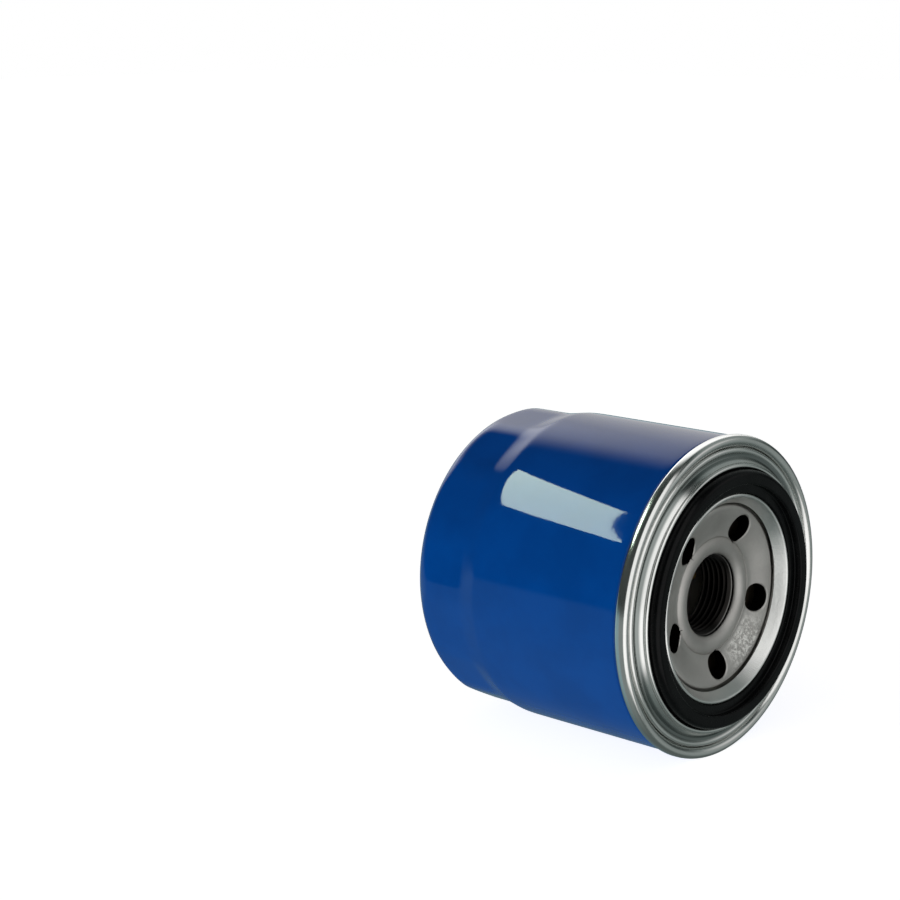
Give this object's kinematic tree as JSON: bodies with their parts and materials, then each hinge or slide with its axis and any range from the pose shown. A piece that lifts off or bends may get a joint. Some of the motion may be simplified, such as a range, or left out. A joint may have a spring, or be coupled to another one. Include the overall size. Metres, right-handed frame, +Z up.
{
  "type": "spin-on oil filter",
  "caption": "Spin-on oil filter canister with a threaded seaming lid, rubber face gasket, pleated element, anti-drain skirt and spring-loaded bypass valve inside a domed steel can with wrench flats",
  "frame": {"origin": "on the thread's axis, in the plane of the gasket's sealing face, which meets the engine's filter head", "axes": "+Y along the filter's axis from the sealing face to the dome, +Z up with the filter lying on its side, +X to the right of a viewer who looks at the thread"},
  "size_m": [0.08, 0.0777, 0.08],
  "materials": {
    "blue_paint": "gloss",
    "tinned_lid": "polished",
    "bare_plate": "satin",
    "gasket_rubber": "satin",
    "sealant": "matte",
    "valve_rubber": "satin",
    "spring_wire": "satin",
    "tinned_cap": "satin",
    "glue": "satin",
    "media": "matte",
    "tube_steel": "satin"
  },
  "bodies": {
    "housing": {"casing": "blue_paint", "seaming_lid": "tinned_lid", "thread_plate": "bare_plate", "sealing_gasket": "gasket_rubber", "seam_sealant": "sealant", "anti_drain_neck": "valve_rubber", "element_spring": "spring_wire"},
    "element": {"front_end_cap": "tinned_cap", "front_glue": "glue", "filter_media": "media", "media_seam_clip": "tinned_cap", "centre_tube": "tube_steel", "rear_glue": "glue", "rear_end_cap": "tinned_cap", "bypass_body": "tube_steel", "bypass_spring": "spring_wire", "spring_seat": "tinned_cap"},
    "bypass_poppet": {"bypass_poppet": "tinned_cap", "bypass_seal": "gasket_rubber"},
    "drain_flap": {"anti_drain_flap": "valve_rubber"}
  },
  "joints": [
    {"name": "element_float", "type": "slide", "parent": "housing", "child": "element", "axis": [0, 1, 0], "range_m": [0, 0.0015], "stiffness_N_per_m": 8000, "springref_m": -0.004, "deforming": ["element_spring"]},
    {"name": "bypass_lift", "type": "slide", "parent": "element", "child": "bypass_poppet", "axis": [0, -1, 0], "range_m": [0, 0.003], "stiffness_N_per_m": 2500, "springref_m": -0.004, "deforming": ["bypass_spring"]},
    {"name": "drain_flap_lift", "type": "slide", "parent": "housing", "child": "drain_flap", "axis": [0, 1, 0], "range_m": [0, 0.0012], "stiffness_N_per_m": 400, "springref_m": -0.001}
  ]
}
